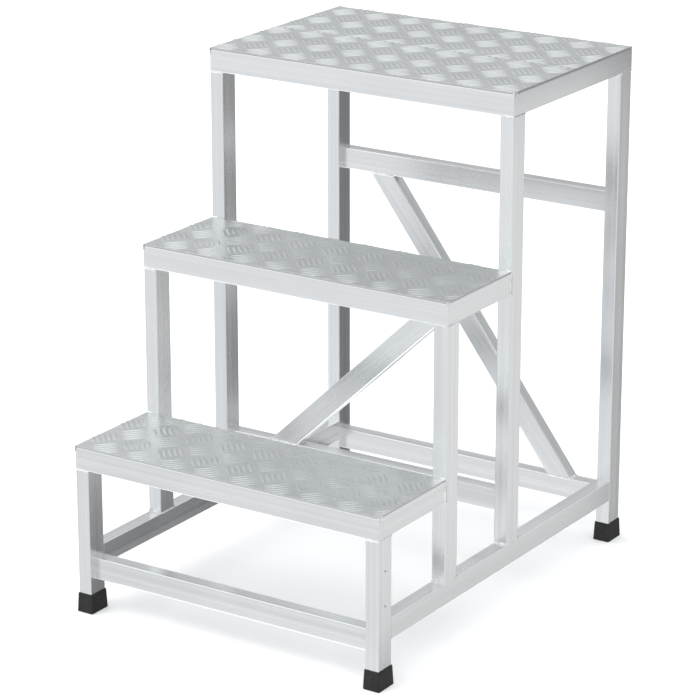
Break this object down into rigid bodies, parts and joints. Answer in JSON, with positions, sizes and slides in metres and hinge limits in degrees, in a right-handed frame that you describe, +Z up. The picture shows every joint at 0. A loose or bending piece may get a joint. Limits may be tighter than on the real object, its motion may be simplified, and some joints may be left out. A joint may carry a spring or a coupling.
{
  "type": "step platform",
  "caption": "Welded aluminium mounting block with two checker-plate steps, a deeper top platform, diagonal braces and plastic foot caps.",
  "frame": {"origin": "on the floor, at the middle of the outline seen from above", "axes": "+X to the right of a person facing the steps, -Y is the side that is climbed, +Z up"},
  "size_m": [0.607, 0.807, 0.9],
  "materials": {
    "frame_tube": "mill-finish extruded tube, satin, fine lines along each tube",
    "tread_plate": "bright rolled checker plate with groups of five raised bars",
    "foot_cap": "black moulded plastic with a fine grain",
    "weld_bead": "bright rippled weld metal"
  },
  "bodies": {
    "root": {"foot_cap_front_left": "foot_cap", "foot_cap_front_right": "foot_cap", "foot_cap_back_left": "foot_cap", "foot_cap_back_right": "foot_cap", "leg_front_left": "frame_tube", "leg_front_right": "frame_tube", "leg_step_left": "frame_tube", "leg_step_right": "frame_tube", "leg_platform_left": "frame_tube", "leg_platform_right": "frame_tube", "leg_back_left": "frame_tube", "leg_back_right": "frame_tube", "rail_side_left": "frame_tube", "rail_side_right": "frame_tube", "rail_front": "frame_tube", "rail_back_lower": "frame_tube", "rail_back_upper": "frame_tube", "rail_middle_lower": "frame_tube", "rail_middle_upper": "frame_tube", "brace_middle": "frame_tube", "brace_back": "frame_tube", "step_1_front": "frame_tube", "step_1_back": "frame_tube", "step_1_left": "frame_tube", "step_1_right": "frame_tube", "step_2_front": "frame_tube", "step_2_back": "frame_tube", "step_2_left": "frame_tube", "step_2_right": "frame_tube", "platform_front": "frame_tube", "platform_back": "frame_tube", "platform_left": "frame_tube", "platform_right": "frame_tube", "platform_bearer": "frame_tube", "plate_step_1": "tread_plate", "plate_step_2": "tread_plate", "plate_platform_front": "tread_plate", "plate_platform_back": "tread_plate", "weld_leg_bases": "weld_bead", "weld_leg_tops": "weld_bead", "weld_step_sides": "weld_bead", "weld_braces": "weld_bead"}
  },
  "joints": []
}
